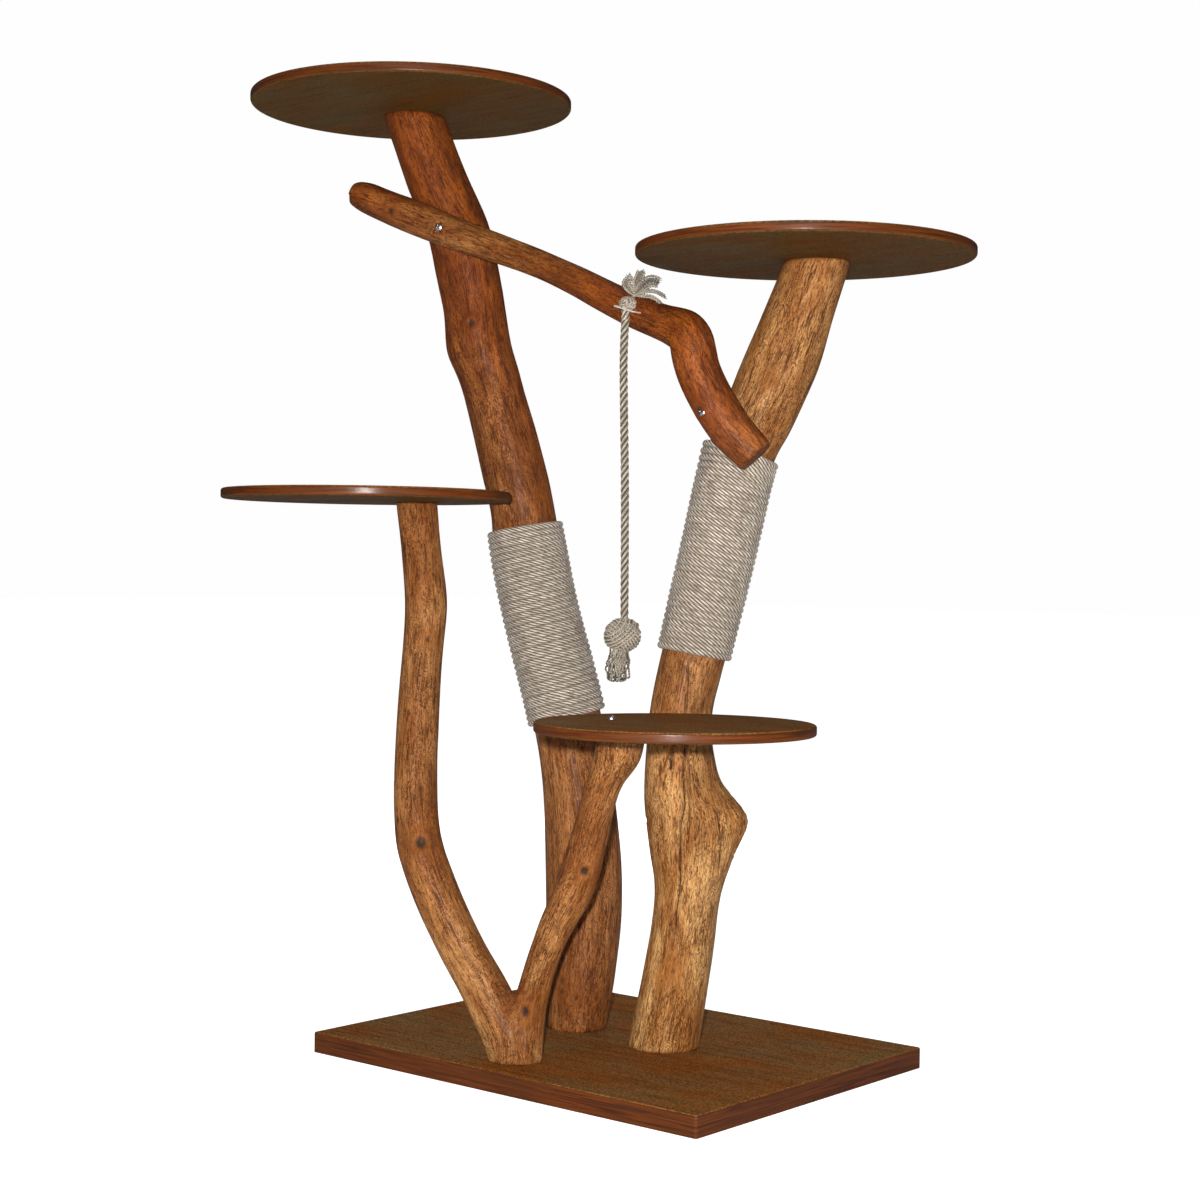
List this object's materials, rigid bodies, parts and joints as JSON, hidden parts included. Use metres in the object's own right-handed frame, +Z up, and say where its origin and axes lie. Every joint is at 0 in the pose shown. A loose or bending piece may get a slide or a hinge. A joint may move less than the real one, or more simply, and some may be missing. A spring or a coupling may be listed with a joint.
{
  "type": "cat tree",
  "caption": "Free-standing cat climbing tree: natural branch posts on a rectangular board, round platforms, rope scratching wraps and a hanging rope toy.",
  "frame": {"origin": "centre of the base board's underside, on the floor", "axes": "+Z up; +X along the base board's long side, towards the post with the side platform and the hanging toy; +Y along its short side, towards the back"},
  "size_m": [0.8769, 0.652, 1.1947],
  "materials": {
    "branch_wood": "satin lacquer on debarked branch, fine dark flecks along the grain",
    "stained_board": "satin, dark brown stain on faces, reddish brown rims",
    "post_rope": "matt three-strand natural rope in close turns",
    "toy_rope": "matt twisted rope with frayed tassels",
    "steel": "bright zinc plated",
    "staple_wire": "bright galvanised wire"
  },
  "bodies": {
    "root": {"base_board": "stained_board", "tall_post": "branch_wood", "right_post": "branch_wood", "fork_post": "branch_wood", "cross_branch": "branch_wood", "top_plate": "stained_board", "right_plate": "stained_board", "left_plate": "stained_board", "low_plate": "stained_board", "tall_post_rope_wrap": "post_rope", "right_post_rope_wrap": "post_rope", "top_plate_screws": "steel", "top_plate_washers": "steel", "right_plate_screws": "steel", "right_plate_washers": "steel", "left_plate_screws": "steel", "left_plate_washers": "steel", "low_plate_screws": "steel", "low_plate_washers": "steel", "tall_post_base_screws": "steel", "right_post_base_screws": "steel", "fork_post_base_screws": "steel", "cross_branch_left_screw": "steel", "cross_branch_right_screw": "steel", "left_plate_rim_screw": "steel", "low_plate_rim_screw": "steel", "toy_staple": "staple_wire", "tall_wrap_staples": "staple_wire", "right_wrap_staples": "staple_wire", "toy_top_knot": "toy_rope", "toy_top_tassel": "toy_rope"},
    "toy_neck": {"toy_rope_neck": "toy_rope"},
    "toy": {"toy_rope": "toy_rope", "toy_bottom_knot": "toy_rope", "toy_bottom_tassel": "toy_rope"}
  },
  "joints": [
    {"name": "toy_side_swing", "type": "hinge", "parent": "root", "child": "toy_neck", "pos_m": [0.075, -0.086, 0.901], "axis": [0, -1, 0], "range_deg": [-20, 30]},
    {"name": "toy_fore_swing", "type": "hinge", "parent": "toy_neck", "child": "toy", "pos_m": [0.075, -0.086, 0.901], "axis": [-1, 0, 0], "range_deg": [0, 30]}
  ]
}
